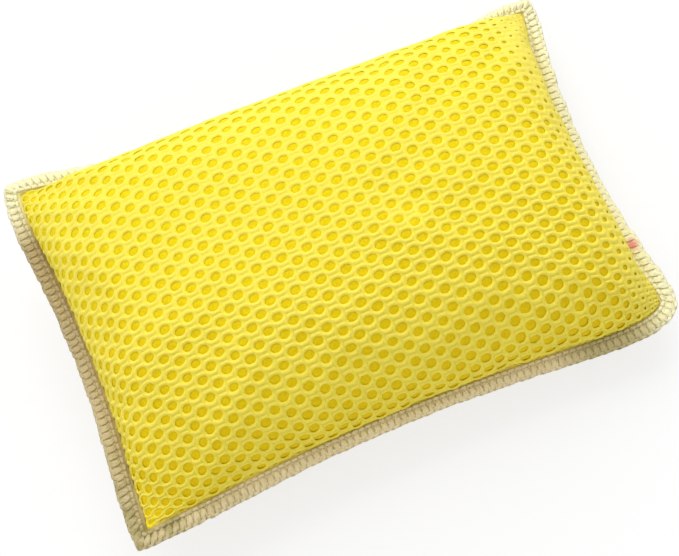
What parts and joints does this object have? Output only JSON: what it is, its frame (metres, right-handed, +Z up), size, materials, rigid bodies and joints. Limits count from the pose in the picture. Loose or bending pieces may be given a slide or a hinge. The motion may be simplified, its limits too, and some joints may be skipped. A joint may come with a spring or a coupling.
{
  "type": "net-covered cleaning sponge",
  "caption": "Soft oblong cleaning sponge: a foam block in a knitted net cover, overlocked around its edge, with seams pulled in between rounded ears and an underside pressed flat by the table.",
  "frame": {"origin": "under the middle of the sponge, on the surface that it rests on", "axes": "+X along the length, +Y across it to the far long seam, +Z up through the thickness"},
  "size_m": [0.1326, 0.0886, 0.0415],
  "materials": {
    "foam": "matte open-cell foam",
    "net": "knitted net with a soft sheen",
    "needle_thread": "matte thread",
    "looper_thread": "matte thread"
  },
  "bodies": {
    "root": {"foam_core": "foam", "cover_top": "net", "cover_bottom": "net", "needle_thread": "needle_thread", "upper_looper_thread": "looper_thread", "lower_looper_thread": "looper_thread"}
  },
  "joints": []
}
